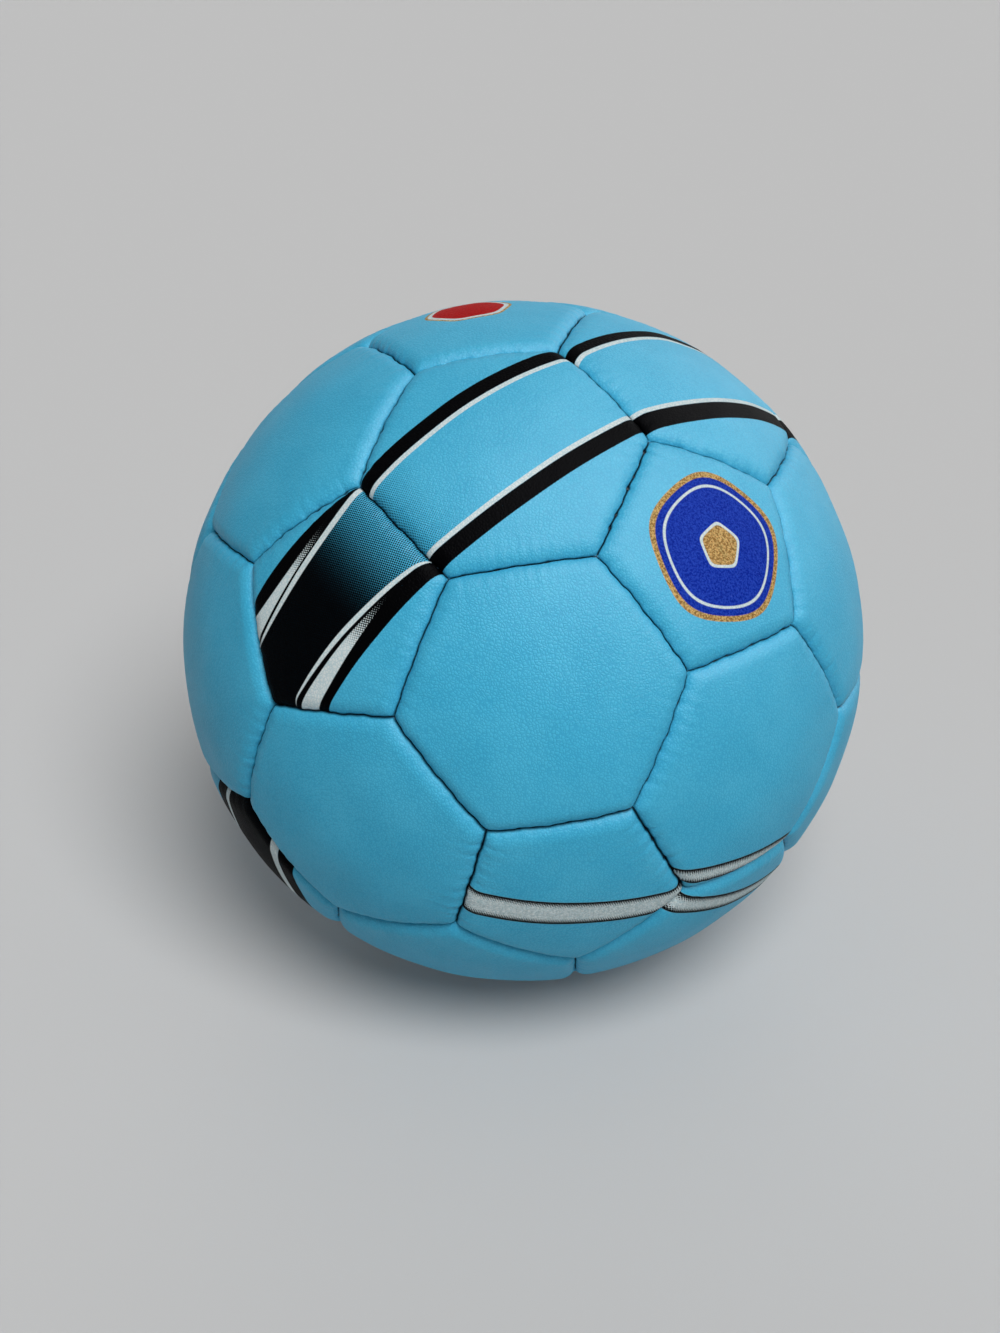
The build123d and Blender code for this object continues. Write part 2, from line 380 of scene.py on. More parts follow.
def crowded(steps):
    """Steps from 0 to 1 that crowd towards 1, where the seams are."""
    t = np.linspace(0, 1, steps + 1)
    return t + GRID_CROWDING * np.sin(math.pi * t) / math.pi


def inset_corners(panel):
    """A panel's corners on its plane, drawn in by the seam's half gap."""
    flat = panel.flat(panel.corners)
    apothem = np.linalg.norm((flat[0] + flat[1]) / 2) * BALL_RADIUS
    return flat * (1 - SEAM_HALF_GAP / apothem), apothem


def quad_grid(flat):
    """Points and faces of a polygon on its plane: one square patch for each corner, sewn to the others."""
    steps = crowded(GRID_STEPS)
    a, b = np.meshgrid(steps, steps, indexing="ij")
    weights = np.stack([a * (1 - b), (1 - a) * b, a * b], -1).reshape(-1, 3)
    rim = ((a == 1) | (b == 1)).ravel()
    patches = []
    for k, here in enumerate(flat):
        after, before = (here + flat[(k + 1) % len(flat)]) / 2, (here + flat[k - 1]) / 2
        patches.append(weights @ np.array([after, before, here]))
    xy = np.concatenate(patches)
    places = np.round(xy * MERGE_SCALE).astype(np.int64)
    _, first, index = np.unique(places, axis=0, return_index=True, return_inverse=True)
    index = index.ravel()
    grid = np.arange(len(a.ravel())).reshape(a.shape)
    cell = np.stack([grid[:-1, :-1], grid[:-1, 1:], grid[1:, 1:], grid[1:, :-1]], -1).reshape(-1, 4)
    faces = np.concatenate([index[cell + k * a.size] for k in range(len(flat))])
    border = np.unique(index[np.tile(rim, len(flat))])
    points = xy[first]
    turn = np.arctan2(points[border, 1], points[border, 0])
    return points, faces, border[np.argsort(turn)]


def ring_grid(flat):
    """As quad_grid, but in rings from a round hole out to the seams. Also gives the hole's ring."""
    points, _, border = quad_grid(flat)
    outline = points[border]
    hole = unit(outline) * VALVE_HOLE_RADIUS / BALL_RADIUS
    count = len(border)
    inner_share = 1 - crowded(VALVE_RINGS // 2)[::-1]
    shares = np.concatenate([inner_share / 2, 0.5 + crowded(VALVE_RINGS // 2)[1:] / 2])
    rings = np.concatenate([hole + (outline - hole) * s for s in shares])
    faces = np.concatenate([strip(np.arange(count) + k * count, np.arange(count) + (k - 1) * count)
                            for k in range(1, len(shares))])
    return rings, faces, np.arange(count) + (len(shares) - 1) * count, np.arange(count)


def strip(upper, lower):
    """Faces between two rings of points."""
    return np.stack([upper, lower, np.roll(lower, -1), np.roll(upper, -1)], -1)


def panel_mesh(panel):
    """Points, faces and distances from the seams of a closed cover: the outside, the turned edge
    and the hollow behind it."""
    flat, apothem = inset_corners(panel)
    hole = None
    if panel.node == "valve_panel":
        xy, faces, border, hole = ring_grid(flat)
    else:
        xy, faces, border = quad_grid(flat)
    p = panel.direction(xy)
    radius, seam_distance = cover_heights(panel, p)
    if hole is not None:
        rim = np.linalg.norm(xy, axis=1) * BALL_RADIUS - VALVE_HOLE_RADIUS
        radius = radius - quarter_round(rim, VALVE_RIM_ROUNDING, VALVE_RIM_ROUNDING)
    points = [p * radius[:, None]]
    faces = [faces]
    drawn_in = 1 - TURNED_THICKNESS / apothem
    ceiling = BALL_RADIUS - COVER_THICKNESS
    rings = [(1, BALL_RADIUS - TURNED_DEPTH), (drawn_in, BALL_RADIUS - TURNED_DEPTH), (drawn_in, ceiling)]
    rings += [(share, ceiling) for share in CEILING_SHARES]
    upper, count = border, len(p)
    for share, level in rings:
        points.append(panel.direction(xy[border] * share) * level)
        lower = np.arange(len(border)) + count
        faces.append(strip(upper, lower))
        upper, count = lower, count + len(border)
    if hole is not None:
        points.append(p[hole] * ceiling)
        lower = np.arange(len(hole)) + count
        faces += [strip(upper, lower), strip(lower, hole)]
    else:
        points.append(panel.middle[None] * ceiling)
        faces.append(np.stack([upper, np.full(len(upper), count), np.roll(upper, -1)], -1))
    inside = np.zeros(sum(len(x) for x in points) - len(p))
    return np.concatenate(points), faces, np.concatenate([seam_distance, inside])


def make_panel(panel, material):
    points, faces, seam_distance = panel_mesh(panel)
    mesh = bpy.data.meshes.new(panel.node + "_cover")
    mesh.from_pydata((points * MM).tolist(), [], [face for block in faces for face in block.tolist()])
    mesh.shade_smooth()
    attribute = mesh.attributes.new("seam_distance", "FLOAT", "POINT")
    attribute.data.foreach_set("value", seam_distance.astype(np.float32))
    mesh.materials.append(material)
    piece = bpy.data.objects.new(panel.node + "_cover", mesh)
    bpy.context.scene.collection.objects.link(piece)
    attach(piece, "ball")
    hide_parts(panel.node)


# Materials

class Graph:
    """A material's nodes, with short calls for the sums and textures that the materials share."""

    def __init__(self, name):
        self.material = bpy.data.materials.new(name)
        self.material.use_nodes = True
        self.nodes, self.links = self.material.node_tree.nodes, self.material.node_tree.links
        self.shader = self.nodes["Principled BSDF"]
        place = self.add("ShaderNodeTexCoord").outputs["Object"]
        scaled = self.add("ShaderNodeVectorMath", operation="SCALE")
        scaled.inputs["Scale"].default_value = 1 / MM
        self.links.new(place, scaled.inputs[0])
        self.place = scaled.outputs[0]

    def add(self, kind, **settings):
        node = self.nodes.new(kind)
        for name, value in settings.items():
            setattr(node, name, value)
        return node

    def put(self, socket, value):
        if isinstance(value, bpy.types.NodeSocket):
            self.links.new(value, socket)
        else:
            socket.default_value = value

    def math(self, operation, *values):
        node = self.add("ShaderNodeMath", operation=operation)
        for socket, value in zip(node.inputs, values):
            self.put(socket, value)
        return node.outputs[0]

    def dot(self, direction):
        node = self.add("ShaderNodeVectorMath", operation="DOT_PRODUCT")
        self.put(node.inputs[0], self.place)
        node.inputs[1].default_value = direction
        return node.outputs["Value"]

    def smooth(self, value, low, high, start=0.0, end=1.0):
        node = self.add("ShaderNodeMapRange", interpolation_type="SMOOTHSTEP")
        names = ("Value", "From Min", "From Max", "To Min", "To Max")
        for name, number in zip(names, (value, low, high, start, end)):
            self.put(node.inputs[name], number)
        return node.outputs[0]

    def mix(self, factor, a, b, blend="MIX"):
        node = self.add("ShaderNodeMix", data_type="RGBA", blend_type=blend)
        self.put(node.inputs["Factor"], factor)
        self.put(node.inputs[6], a)
        self.put(node.inputs[7], b)
        return node.outputs[2]

    def noise(self, length, detail=2.0, roughness=0.5, place=None):
        node = self.add("ShaderNodeTexNoise")
        self.put(node.inputs["Vector"], place or self.place)
        node.inputs["Scale"].default_value = 1 / length
        node.inputs["Detail"].default_value = detail
        node.inputs["Roughness"].default_value = roughness
        return node.outputs[0]

    def cells(self, length, feature, place):
        node = self.add("ShaderNodeTexVoronoi", feature=feature)
        self.put(node.inputs["Vector"], place)
        node.inputs["Scale"].default_value = 1 / length
        return node.outputs["Distance"]

    def bump(self, height, depth, normal=None):
        node = self.add("ShaderNodeBump")
        node.inputs["Distance"].default_value = depth * MM
        self.put(node.inputs["Height"], height)
        if normal is not None:
            self.put(node.inputs["Normal"], normal)
        return node.outputs[0]

    def finish(self, **sockets):
        for name, value in sockets.items():
            self.put(self.shader.inputs[name.replace("_", " ")], value)
        return self.material


def rgb(red, green, blue):
    """A colour as it shows on screen, 0 to 255, as the linear colour that a socket takes."""
    shares = [c / 255 for c in (red, green, blue)]
    return tuple(s / 12.92 if s <= 0.04045 else ((s + 0.055) / 1.055) ** 2.4 for s in shares) + (1.0,)


LEATHER_BLUE = rgb(61, 166, 201)
LEATHER_PALE = rgb(68, 171, 205)
LEATHER_STAIN = rgb(70, 146, 170)
CLOUD_LENGTH = 14.0
CLOUD_EDGE = (0.35, 0.7)
STAIN_LENGTH = 22.0
STAIN_EDGE = (0.62, 0.8)
STAIN_STRENGTH = 0.35
WEAR_LENGTH = 0.55
WEAR_EDGE = (0.74, 0.80)
WEAR_STRENGTH = 0.75
CREASE_SHADE = rgb(190, 222, 234)
SEAM_SHADE = rgb(5, 34, 50)
LEATHER_SHINE = 0.14
LEATHER_ROUGHNESS = 0.42
ROUGHNESS_SWING = 0.12
ROUGHNESS_LENGTH = 9.0
INK_SHINE = 0.010
PRINT_BLACK = rgb(2, 2, 3)
PRINT_WHITE = rgb(205, 214, 214)
PRINT_RED = rgb(170, 14, 16)
GRAIN_LENGTH = 0.85
GRAIN_DEPTH = 0.042
GRAIN_SWIRL_LENGTH = 2 * GRAIN_LENGTH
GRAIN_SWIRL = 1.1 * GRAIN_LENGTH
PEBBLE_EDGE = 0.32
DOME_SHARE = 0.6
FINE_GRAIN_LENGTH = 0.5
FINE_GRAIN_DEPTH = 0.038
CREASE_LENGTH = 3.0
CREASE_DEPTH = 0.04
CREASE_EDGE = 0.5
CREASE_STRENGTH = 0.5
PUCKER_LENGTH = 1.1
PUCKER_DEPTH = 0.09
PUCKER_REACH = 8.0


def grain(g, distance):
    """Leather grain: uneven pebbles parted by fine creases, and puckers by the seams.
    Gives the normal and the pebbles."""
    shift = g.add("ShaderNodeTexNoise")
    shift.inputs["Scale"].default_value = 1 / GRAIN_SWIRL_LENGTH
    g.put(shift.inputs["Vector"], g.place)
    moved = g.add("ShaderNodeVectorMath", operation="MULTIPLY_ADD")
    g.put(moved.inputs[0], shift.outputs["Color"])
    moved.inputs[1].default_value = (GRAIN_SWIRL,) * 3
    g.put(moved.inputs[2], g.place)
    place = moved.outputs[0]
    pebbles = g.smooth(g.cells(GRAIN_LENGTH, "DISTANCE_TO_EDGE", place), 0.0, PEBBLE_EDGE)
    domes = g.math("MULTIPLY_ADD", g.cells(GRAIN_LENGTH, "F1", place), -DOME_SHARE, pebbles)
    normal = g.bump(domes, GRAIN_DEPTH)
    fine = g.noise(FINE_GRAIN_LENGTH, detail=3.0, roughness=0.6, place=place)
    normal = g.bump(fine, FINE_GRAIN_DEPTH, normal)
    normal = g.bump(g.noise(CREASE_LENGTH, detail=4.0, roughness=0.65), CREASE_DEPTH, normal)
    puckers = g.noise(PUCKER_LENGTH)
    puckers = g.math("MULTIPLY", puckers, g.smooth(distance, 0.0, PUCKER_REACH, 1.0, 0.0))
    return g.bump(puckers, PUCKER_DEPTH, normal), pebbles


def leather(name, prints=()):
    """Blue synthetic leather with a printed design. A print is a function of the graph that gives
    a mask and an ink, and an ink is a colour or a function of the graph that gives one."""
    g = Graph(name)
    distance = g.add("ShaderNodeAttribute", attribute_name="seam_distance").outputs["Fac"]
    normal, pebbles = grain(g, distance)
    clouds = g.smooth(g.noise(CLOUD_LENGTH, detail=3.0), *CLOUD_EDGE)
    colour = g.mix(clouds, LEATHER_BLUE, LEATHER_PALE)
    stain = g.smooth(g.noise(STAIN_LENGTH, detail=6.0, roughness=0.7), *STAIN_EDGE)
    colour = g.mix(g.math("MULTIPLY", stain, STAIN_STRENGTH), colour, LEATHER_STAIN)
    worn = g.smooth(g.noise(WEAR_LENGTH, detail=3.0, roughness=0.7), *WEAR_EDGE)
    printed = 0.0
    for make in prints:
        mask, ink = make(g)
        ink = ink(g) if callable(ink) else ink
        mask = g.math("MULTIPLY", mask, g.math("MULTIPLY_ADD", worn, -WEAR_STRENGTH, 1.0))
        colour = g.mix(mask, colour, ink)
        printed = g.math("MAXIMUM", printed, mask)
    creases = g.smooth(pebbles, 0.0, CREASE_EDGE, CREASE_STRENGTH, 0.0)
    colour = g.mix(creases, colour, CREASE_SHADE, "MULTIPLY")
    # Painted shade along the seams, which darkens their cores
    colour = g.mix(g.smooth(distance, 0.0, 1.0, 1.0, 0.0), colour, SEAM_SHADE, "MULTIPLY")
    patches = g.noise(ROUGHNESS_LENGTH, detail=3.0)
    rough = g.math("MULTIPLY_ADD", patches, ROUGHNESS_SWING, LEATHER_ROUGHNESS)
    if not prints:
        return g.finish(Base_Color=colour, Roughness=rough, Normal=normal, Specular_IOR_Level=LEATHER_SHINE)
    shine = g.math("MULTIPLY_ADD", printed, INK_SHINE - LEATHER_SHINE, LEATHER_SHINE)
    return g.finish(Base_Color=colour, Roughness=rough, Normal=normal, Specular_IOR_Level=shine)


# Prints. Their distances are millimetres from planes through the ball's centre.

INK_FLAKE = 0.55
FLAKE_EDGE = (0.4, 0.6)


def flaked(dark, light):
    """An ink of two tones, in fine flakes."""
    return lambda g: g.mix(g.smooth(g.noise(INK_FLAKE, roughness=0.7), *FLAKE_EDGE), dark, light)


# The blue ink's light flakes are painted glints of the leather's grain
PRINT_BLUE_GLINTED = flaked(rgb(5, 36, 142), rgb(30, 62, 170))
PRINT_OCHRE = flaked(rgb(140, 100, 52), rgb(205, 166, 104))
PRINT_SILVER = flaked(rgb(176, 189, 190), rgb(206, 215, 215))

PRINT_EDGE = 0.12


def printed_line(pixels, inside):
    """The plane of a line through three pixels of the photograph, or through two and the ball's centre:
    the direction of its side that a point of the ball lies on, and its distance from the centre."""
    points = [on_ball(pixel) for pixel in pixels]
    if len(points) == 2:
        points.append(np.zeros(3))
    side = unit(np.cross(points[1] - points[0], points[2] - points[0]))
    start = BALL_RADIUS * side @ points[0]
    return (side, start) if BALL_RADIUS * side @ inside > start else (-side, -start)


def band(g, side, low, high):
    """A mask that is 1 between two distances from a plane through the centre."""
    y = g.dot(side)
    up = g.smooth(y, low - PRINT_EDGE, low + PRINT_EDGE)
    return g.math("MULTIPLY", up, g.smooth(y, high - PRINT_EDGE, high + PRINT_EDGE, 1.0, 0.0))


def stripe(side, low, high, ink):
    return lambda g: (band(g, side, low, high), ink)


def edged_stripe(pixels, junction, inner, flip):
    """A black stripe from the line through some pixels in to a junction, then a white line in to its end."""
    side, start = printed_line(pixels, on_ball(inner))
    black_end, white_end = (BALL_RADIUS * side @ on_ball(pixel) for pixel in (junction, inner))
    white = stripe(flip * side, black_end, white_end, PRINT_WHITE)
    return [white, stripe(flip * side, start, black_end, PRINT_BLACK)]


def dotted(g, u, v, ground):
    """Dots on a turned square screen, which grow with the ground from none at 0 to a solid at 1."""
    c, s = math.cos(HALFTONE_TURN), math.sin(HALFTONE_TURN)
    turned = [g.math("MULTIPLY_ADD", u, a, g.math("MULTIPLY", v, b)) for a, b in ((c, s), (-s, c))]
    waves = [g.math("SINE", g.math("MULTIPLY", x, math.pi / HALFTONE_PITCH)) for x in turned]
    dots = g.math("ABSOLUTE", g.math("MULTIPLY", *waves))
    grown = g.math("MULTIPLY_ADD", ground, 1 + 2 * HALFTONE_MARGIN, -HALFTONE_MARGIN)
    return g.smooth(g.math("ADD", dots, grown), *HALFTONE_EDGE)


def between(g, lines, flip):
    """A mask that is 1 on the inner sides of some lines."""
    mask = 1.0
    for side, low in lines:
        mask = g.math("MULTIPLY", mask, g.smooth(g.dot(flip * side), low - PRINT_EDGE, low + PRINT_EDGE))
    return mask


def wedge(first, second, inside, ink, flip, fade=None):
    """Ink between two lines, on a pixel's side. It can break into dots towards a fade's first pixel."""
    lines = [printed_line(pixels, on_ball(inside)) for pixels in (first, second)]

    def make(g):
        mask = between(g, lines, flip)
        if fade:
            start, end = (on_ball(pixel) for pixel in fade)
            along = unit(end - start)
            u, v = g.dot(flip * along), g.dot(flip * np.cross(start, along))
            low, high = (BALL_RADIUS * along @ p for p in (start, end))
            mask = g.math("MULTIPLY", mask, dotted(g, u, v, g.smooth(u, low, high)))
        return mask, ink
    return make


def halftone(lines, start, end, flip):
    """Black dots between some lines, growing from none at the start to a solid ground at the end."""
    along = unit(end - start)
    across = np.cross(unit(start + end), along)
    first, last = (BALL_RADIUS * along @ p for p in (start, end))

    def make(g):
        u, v = g.dot(flip * along), g.dot(flip * across)
        dots = dotted(g, u, v, g.smooth(u, first, last))
        return g.math("MULTIPLY", dots, between(g, lines, flip)), PRINT_BLACK
    return [make]


def patch(pixel, point_pixel, sides, rounding, rings):
    """A rounded polygon about a pixel with a corner towards another, in rings of a size and an ink,
    from the outside in."""
    middle = on_ball(pixel)
    ahead = on_ball(point_pixel)
    ahead = unit(ahead - middle * (ahead @ middle))
    across = np.cross(middle, ahead)

    def make(size, ink):
        def ring(g):
            x, y, near = g.dot(ahead), g.dot(across), g.dot(middle)
            total = 0.0
            for k in range(sides):
                turn = 2 * math.pi * (k + 0.5) / sides
                reach = g.math("MULTIPLY_ADD", x, math.cos(turn), g.math("MULTIPLY", y, math.sin(turn)))
                total = g.math("ADD", total, g.math("EXPONENT", g.math("MULTIPLY", reach, 1 / rounding)))
            reach = g.math("MULTIPLY", g.math("LOGARITHM", total, math.e), rounding)
            mask = g.smooth(reach, size - PRINT_EDGE, size + PRINT_EDGE, 1.0, 0.0)
            return g.math("MULTIPLY", mask, g.smooth(near, 0.0, 1.0)), ink
        return ring
    return [make(*ring) for ring in rings]


def silver_bar(pixels, half_width):
    """A silver stripe along the great circle through two pixels, with black edges that break into dots."""
    first, second = (on_ball(pixel) for pixel in pixels)
    side = unit(np.cross(first, second))
    along = unit(second - first)

    def edges(g):
        v = g.dot(side)
        away = g.math("ABSOLUTE", v)
        mask = dotted(g, g.dot(along), v, g.smooth(away, half_width - BAR_EDGE, half_width))
        return g.math("MULTIPLY", mask, band(g, side, -half_width, half_width)), PRINT_BLACK
    return [stripe(side, -half_width, half_width, PRINT_SILVER), edges]


# The dotted screen
HALFTONE_PITCH = 0.56
HALFTONE_TURN = math.radians(28)
HALFTONE_MARGIN = 0.15
HALFTONE_EDGE = (0.8, 1.2)

# Places of the prints, in pixels of the photograph, and their sizes, in millimetres
BAND_UPPER_NEAR = ((342.0, 493.2), (292.1, 545.5), (258.7, 594.0))
BAND_LOWER_NEAR = ((438.1, 571.9), (368.6, 646.4), (328.2, 704.7))
BAND_UPPER = ((359.9, 477.3), (547.7, 350.4))
BAND_LOWER = ((440.0, 570.8), (642.6, 431.2))
BAND_UPPER_FAR = ((566, 349.11), (612, 333.26), (658, 333.41))
BAND_LOWER_FAR = ((646.1, 431.9), (782.1, 427.6))
# Where a black stripe ends and where the white line beside it ends
UPPER_ENDS = ((476.5, 398.2), (478.2, 402.2))
LOWER_ENDS = ((539.8, 470.8), (538.2, 465.6))
UPPER_FAR_ENDS = ((628, 338.2), (628, 341.4))
LOWER_FAR_ENDS = ((715, 401.8), (716, 398.0))
# A pixel on each panel of the band
NEAR_PIXEL, MIDDLE_PIXEL, FAR_PIXEL = (345, 600), (520, 460), (690, 375)
# The dark end: its fade, and on each side the white line and wedge
NEAR_FADE = ((470, 455), (318, 598))
UPPER_LINE_OUT = ((344.8, 501.6), (291.4, 581.6), (253.7, 655.4))
UPPER_LINE_IN = ((351.6, 501.6), (296.8, 581.4), (255.1, 655.1))
UPPER_LINE_INSIDE = (311.0, 556.0)
UPPER_WEDGE_OUT = ((316.7, 530.6), (281.1, 580.9), (248.3, 628.0))
UPPER_WEDGE_IN = ((322.1, 530.9), (274.7, 606.4), (252.4, 651.5))
UPPER_WEDGE_INSIDE = (266.0, 615.0)
UPPER_WEDGE_FADE = ((328, 521), (281, 586))
LOWER_LINE_OUT = ((426.1, 560.2), (346.8, 630.9), (294.3, 701.2))
LOWER_LINE_IN = ((421.8, 559.0), (340.4, 630.7), (292.8, 701.2))
LOWER_LINE_INSIDE = (343.5, 630.8)
LOWER_WEDGE_OUT = ((385.1, 600.6), (350.8, 649.9), (316.5, 708.1))
LOWER_WEDGE_IN = ((379.2, 601.8), (336.3, 649.6), (298.2, 705.7))
LOWER_WEDGE_INSIDE = (325.0, 676.0)
LOWER_WEDGE_FADE = ((392, 590), (338, 658))
NEAR_SIDES = [
    (BAND_UPPER_NEAR, UPPER_LINE_OUT, UPPER_LINE_IN, UPPER_LINE_INSIDE,
     UPPER_WEDGE_OUT, UPPER_WEDGE_IN, UPPER_WEDGE_INSIDE, UPPER_WEDGE_FADE),
    (BAND_LOWER_NEAR, LOWER_LINE_OUT, LOWER_LINE_IN, LOWER_LINE_INSIDE,
     LOWER_WEDGE_OUT, LOWER_WEDGE_IN, LOWER_WEDGE_INSIDE, LOWER_WEDGE_FADE),
]
# The panel of the other end, as a direction
FAR_PENTAGON = unit((0.756, 0.434, 0.49))
# Patches: a middle, a pixel that a corner points to, and rings of a size and an ink
BADGE_PIXEL, BADGE_POINT = (721, 546), (643, 521)
BADGE_SIDES = 5
BADGE_ROUNDING = 4.5
BADGE_RINGS = [(19.5, PRINT_OCHRE), (18.2, PRINT_BLUE_GLINTED), (16.6, PRINT_WHITE), (16.0, PRINT_BLUE_GLINTED)]
EMBLEM_ROUNDING = 0.7
EMBLEM_RINGS = [(5.6, PRINT_WHITE), (4.9, PRINT_OCHRE)]
MARK_PIXEL, MARK_POINT = (468, 310), (440, 312)
MARK_SIDES = 6
MARK_ROUNDING = 1.2
MARK_RINGS = [(11.2, PRINT_OCHRE), (10.5, PRINT_WHITE), (9.4, PRINT_RED)]
# Bars: two pixels along each, half its width and a pixel on its panel
LOW_BAR, LOW_BAR_HALF, LOW_BAR_PANEL = ((500, 908), (660, 904)), 4.6, (580, 900)
SIDE_BAR, SIDE_BAR_HALF, SIDE_BAR_PANEL = ((700, 876), (790, 838)), 3.0, (740, 760)
UNDER_BAR, UNDER_BAR_HALF, UNDER_BAR_PANEL = ((685, 906), (775, 873)), 3.4, (710, 910)
BAR_EDGE = 3.2
# The other end: its outer line, its stripes and ground inward from there, and its fade
END_BAND, END_BAND_INSIDE = ((291, 872), (303, 897)), (250, 835)
END_STRIPES = [
    (0.0, 5.0, PRINT_BLACK),
    (5.0, 7.6, PRINT_WHITE),
    (26.0, 28.0, PRINT_WHITE),
    (28.0, 34.0, PRINT_BLACK),
]
END_GROUND = (7.4, 26.2)
END_FADE_SHARES = (0.6, 0.1)


def near_fade(upper, lower, flip):
    """The fade into the dark end, between two lines."""
    start, end = (on_ball(pixel) for pixel in NEAR_FADE)
    lines = [printed_line(pixels, unit(start + end)) for pixels in (upper, lower)]
    return halftone(lines, start, end, flip)


def near_band(flip):
    """The dark end of the band: on each side a black stripe, a thinning white line and a white wedge."""
    prints = near_fade(BAND_UPPER_NEAR, BAND_LOWER_NEAR, flip)
    for edge, line_out, line_in, on_line, wedge_out, wedge_in, on_wedge, fade in NEAR_SIDES:
        prints.append(wedge(edge, line_out, on_wedge, PRINT_BLACK, flip))
        prints.append(wedge(line_out, line_in, on_line, PRINT_WHITE, flip))
        prints.append(wedge(wedge_out, wedge_in, on_wedge, PRINT_WHITE, flip, fade))
    return prints


def middle_band(flip):
    return (near_fade(BAND_UPPER, BAND_LOWER, flip)
            + edged_stripe(BAND_UPPER, *UPPER_ENDS, flip)
            + edged_stripe(BAND_LOWER, *LOWER_ENDS, flip))


def far_band(flip):
    upper = edged_stripe(BAND_UPPER_FAR, *UPPER_FAR_ENDS, flip)
    return upper + edged_stripe(BAND_LOWER_FAR, *LOWER_FAR_ENDS, flip)


def end_band(flip):
    """The band's other end: a ground that darkens outwards, between black stripes with white lines."""
    side, start = printed_line(END_BAND, on_ball(END_BAND_INSIDE))
    light, dark = (-unit(FAR_PENTAGON + share * on_ball(FAR_PIXEL)) for share in END_FADE_SHARES)
    ground_low, ground_high = END_GROUND
    lines = [(side, start + ground_low), (-side, -start - ground_high)]
    stripes = [stripe(flip * side, start + low, start + high, ink) for low, high, ink in END_STRIPES]
    return halftone(lines, light, dark, flip) + stripes


def badge():
    outside = patch(BADGE_PIXEL, BADGE_POINT, BADGE_SIDES, BADGE_ROUNDING, BADGE_RINGS)
    return outside + patch(BADGE_PIXEL, BADGE_POINT, BADGE_SIDES, EMBLEM_ROUNDING, EMBLEM_RINGS)


def mark():
    return patch(MARK_PIXEL, MARK_POINT, MARK_SIDES, MARK_ROUNDING, MARK_RINGS)


def main_look():
    """Every cover, plain or printed. The band has a twin opposite, turned through the ball's centre."""
    panels = read_layout()
    designs = [
        (on_ball(NEAR_PIXEL), "band_near", near_band(1)),
        (on_ball(MIDDLE_PIXEL), "band_middle", middle_band(1)),
        (on_ball(FAR_PIXEL), "band_far", far_band(1)),
        (FAR_PENTAGON, "band_end", end_band(-1)),
        (-on_ball(NEAR_PIXEL), "twin_near", near_band(-1)),
        (-on_ball(MIDDLE_PIXEL), "twin_middle", middle_band(-1)),
        (-on_ball(FAR_PIXEL), "twin_far", far_band(-1)),
        (-FAR_PENTAGON, "twin_end", end_band(1)),
        (on_ball(BADGE_PIXEL), "badge", badge()),
        (on_ball(MARK_PIXEL), "mark", mark()),
        (on_ball(LOW_BAR_PANEL), "bar_low", silver_bar(LOW_BAR, LOW_BAR_HALF)),
        (on_ball(SIDE_BAR_PANEL), "bar_side", silver_bar(SIDE_BAR, SIDE_BAR_HALF)),
        (on_ball(UNDER_BAR_PANEL), "bar_under", silver_bar(UNDER_BAR, UNDER_BAR_HALF)),
    ]
    plain = leather("cover_leather")
    materials = {nearest(panels, d).node: leather("cover_" + name, prints) for d, name, prints in designs}
    for panel in panels:
        make_panel(panel, materials.get(panel.node, plain))


# Materials of the pieces inside, which are the frame's own

CLOTH_TONES = (rgb(196, 190, 176), rgb(222, 217, 204))
LATEX_TONES = (rgb(176, 132, 84), rgb(196, 152, 102))
HOUSING_TONES = (rgb(16, 16, 17), rgb(30, 30, 31))
CORE_TONES = (rgb(12, 12, 13), rgb(26, 26, 27))
THREAD_TONES = (rgb(10, 22, 30), rgb(24, 44, 56))
WEAVE_PITCH = 0.9
WEAVE_DEPTH = 0.15
RUBBER_CLOUD_LENGTH = 3.0
RUBBER_GRAIN_LENGTH = 0.4
RUBBER_GRAIN_DEPTH = 0.02
RUBBER_ROUGHNESS_SWING = 0.2
TWIST_PITCH = 0.5
TWIST_DEPTH = 0.06
AXES = ((1, 0, 0), (0, 1, 0), (0, 0, 1))


def woven_cloth(name):
    g = Graph(name)
    turns = [g.math("MULTIPLY", g.dot(axis), 2 * math.pi / WEAVE_PITCH) for axis in AXES]
    waves = [g.math("SINE", turn) for turn in turns]
    weave = g.math("MULTIPLY", g.math("MULTIPLY", *waves[:2]), waves[2])
    colour = g.mix(g.smooth(weave, -0.5, 0.5), *CLOTH_TONES)
    normal = g.bump(weave, WEAVE_DEPTH)
    return g.finish(Base_Color=colour, Roughness=0.9, Normal=normal, Specular_IOR_Level=0.1)


def soft_rubber(name, tones, roughness):
    g = Graph(name)
    cloud = g.noise(RUBBER_CLOUD_LENGTH, detail=4.0, roughness=0.6)
    colour = g.mix(g.smooth(cloud, 0.3, 0.7), *tones)
    swing = RUBBER_ROUGHNESS_SWING
    rough = g.math("MULTIPLY_ADD", cloud, swing, roughness - swing / 2)
    normal = g.bump(g.noise(RUBBER_GRAIN_LENGTH, detail=3.0), RUBBER_GRAIN_DEPTH)
    return g.finish(Base_Color=colour, Roughness=rough, Normal=normal, Specular_IOR_Level=0.3)


def waxed_thread(name):
    g = Graph(name)
    twist = g.math("SINE", g.math("MULTIPLY", g.dot((1, 1, 1)), 2 * math.pi / TWIST_PITCH))
    colour = g.mix(g.smooth(twist, -1.0, 1.0), *THREAD_TONES)
    normal = g.bump(twist, TWIST_DEPTH)
    return g.finish(Base_Color=colour, Roughness=0.55, Normal=normal, Specular_IOR_Level=0.3)


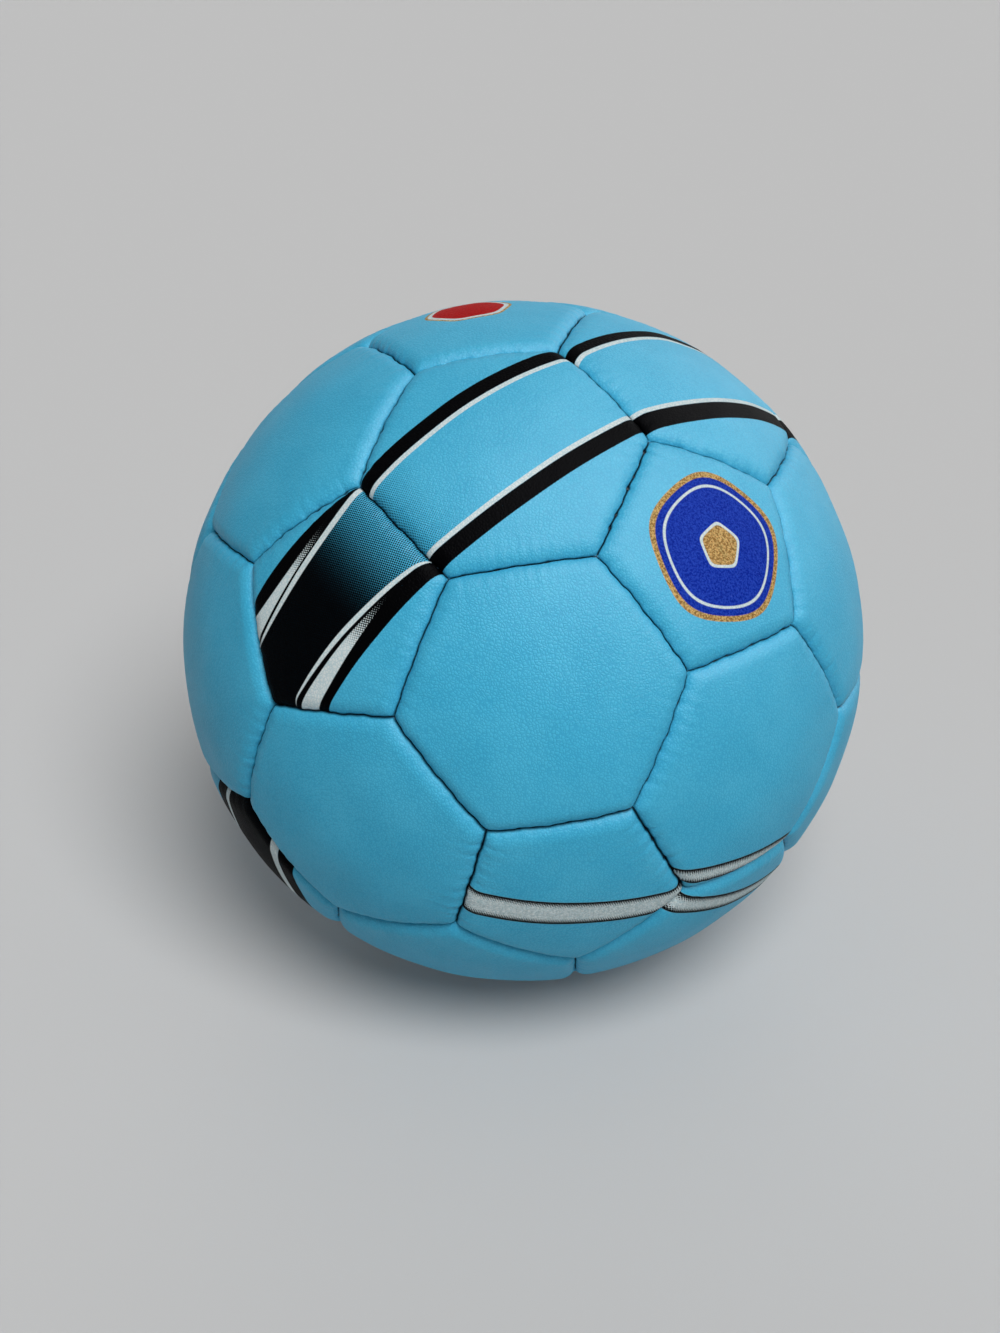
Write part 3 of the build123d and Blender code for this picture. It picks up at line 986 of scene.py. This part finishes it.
def dress_frame():
    cloth = woven_cloth("lining_cloth")
    looks = {
        "hexagon_linings": cloth,
        "pentagon_linings": cloth,
        "valve_panel_lining": cloth,
        "bladder": soft_rubber("bladder_latex", LATEX_TONES, 0.5),
        "valve_housing": soft_rubber("valve_rubber", HOUSING_TONES, 0.55),
        "valve_core": soft_rubber("core_rubber", CORE_TONES, 0.45),
        "seam_threads": waxed_thread("waxed_thread"),
    }
    for node, material in looks.items():
        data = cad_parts[node].data
        data.materials.clear()
        data.materials.append(material)


def make_stage():
    """A pale sheet that glows a little, painted light that keeps the shadow on it light."""
    low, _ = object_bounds()
    mesh = bpy.data.meshes.new("floor")
    s = FLOOR_HALF_METRES
    mesh.from_pydata([(-s, -s, low.z), (s, -s, low.z), (s, s, low.z), (-s, s, low.z)], [], [(0, 1, 2, 3)])
    floor = bpy.data.objects.new("floor", mesh)
    bpy.context.scene.collection.objects.link(floor)
    paper = Graph("floor_paper").finish(
        Base_Color=(FLOOR_GREY,) * 3 + (1,), Roughness=0.9, Specular_IOR_Level=0.0,
        Emission_Color=(1, 1, 1, 1), Emission_Strength=FLOOR_GLOW)
    mesh.materials.append(paper)


def make_lamp(name, towards, angle, strength):
    data = bpy.data.lights.new(name, "SUN")
    data.energy = strength
    data.angle = angle
    lamp = bpy.data.objects.new(name, data)
    lamp.rotation_euler = Vector(towards).to_track_quat("Z", "Y").to_euler()
    bpy.context.scene.collection.objects.link(lamp)
    return lamp


def make_light():
    """Lamps that light without a shine, of which the fill throws no shadow, and lamps that only shine."""
    for name, settings in LAMPS.items():
        lamp = make_lamp(name, *settings)
        lamp.visible_glossy = False
        lamp.data.use_shadow = name != "fill"
    for name, settings in SHEEN_LAMPS.items():
        make_lamp(name, *settings).visible_diffuse = False


def make_world():
    """A weak sky, seen as the background's grey by the camera and in reflections."""
    world = bpy.data.worlds.new("studio")
    world.use_nodes = True
    nodes, links = world.node_tree.nodes, world.node_tree.links
    background = nodes["Background"]
    background.inputs["Color"].default_value = (1, 1, 1, 1)
    path = nodes.new("ShaderNodeLightPath")
    seen = path.outputs["Is Camera Ray"]
    for ray in ("Is Glossy Ray", "Is Transmission Ray"):
        either = nodes.new("ShaderNodeMath")
        either.operation = "MAXIMUM"
        links.new(seen, either.inputs[0])
        links.new(path.outputs[ray], either.inputs[1])
        seen = either.outputs[0]
    level = nodes.new("ShaderNodeMapRange")
    level.inputs["To Min"].default_value = WORLD_STRENGTH
    level.inputs["To Max"].default_value = BACKGROUND_GREY
    links.new(seen, level.inputs["Value"])
    links.new(level.outputs[0], background.inputs["Strength"])
    bpy.context.scene.world = world


main_look()
dress_frame()
make_camera()
make_light()
make_world()
make_stage()
bpy.context.scene.view_settings.view_transform = "Standard"
